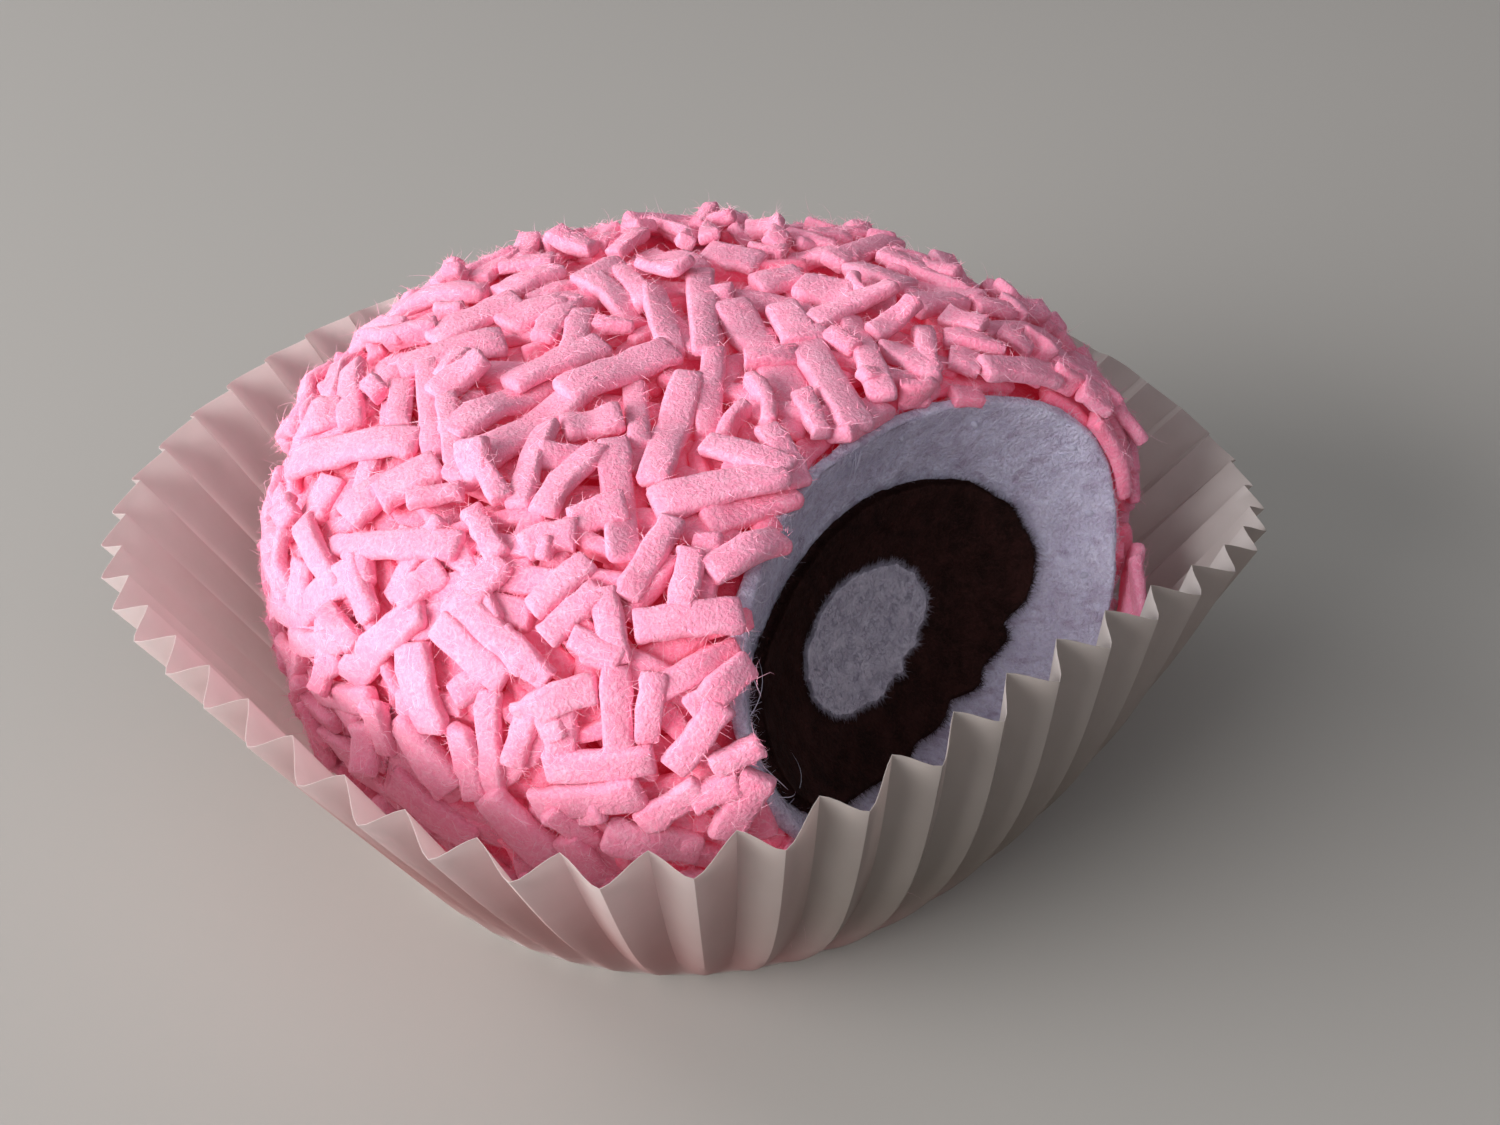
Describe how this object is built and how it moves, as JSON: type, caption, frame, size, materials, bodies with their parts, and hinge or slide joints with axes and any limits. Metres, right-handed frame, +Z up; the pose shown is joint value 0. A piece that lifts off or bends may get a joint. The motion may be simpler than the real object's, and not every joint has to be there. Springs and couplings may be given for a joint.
{
  "type": "felt toy snack cake",
  "caption": "Toy snack cake: a shaggy pink felt dome with a bite showing white, brown and pale felt, standing in a pleated white paper cup.",
  "frame": {"origin": "middle of the cup's flat underside", "axes": "+Z up; -Y is the front of the picture, +X its right; the bite faces the front right"},
  "size_m": [0.0925, 0.0908, 0.0408],
  "materials": {
    "white_paper": "thin white baking paper, matt, lets some light through",
    "pink_felt": "soft wool-like felt cut in short strips, matt and fuzzy",
    "white_felt": "white craft felt, matt and fuzzy",
    "brown_felt": "very dark brown craft felt, matt and fuzzy"
  },
  "bodies": {
    "root": {"paper_cup": "white_paper", "pink_cake": "pink_felt", "white_lining": "white_felt", "brown_layer": "brown_felt", "pale_middle": "white_felt"}
  },
  "joints": []
}
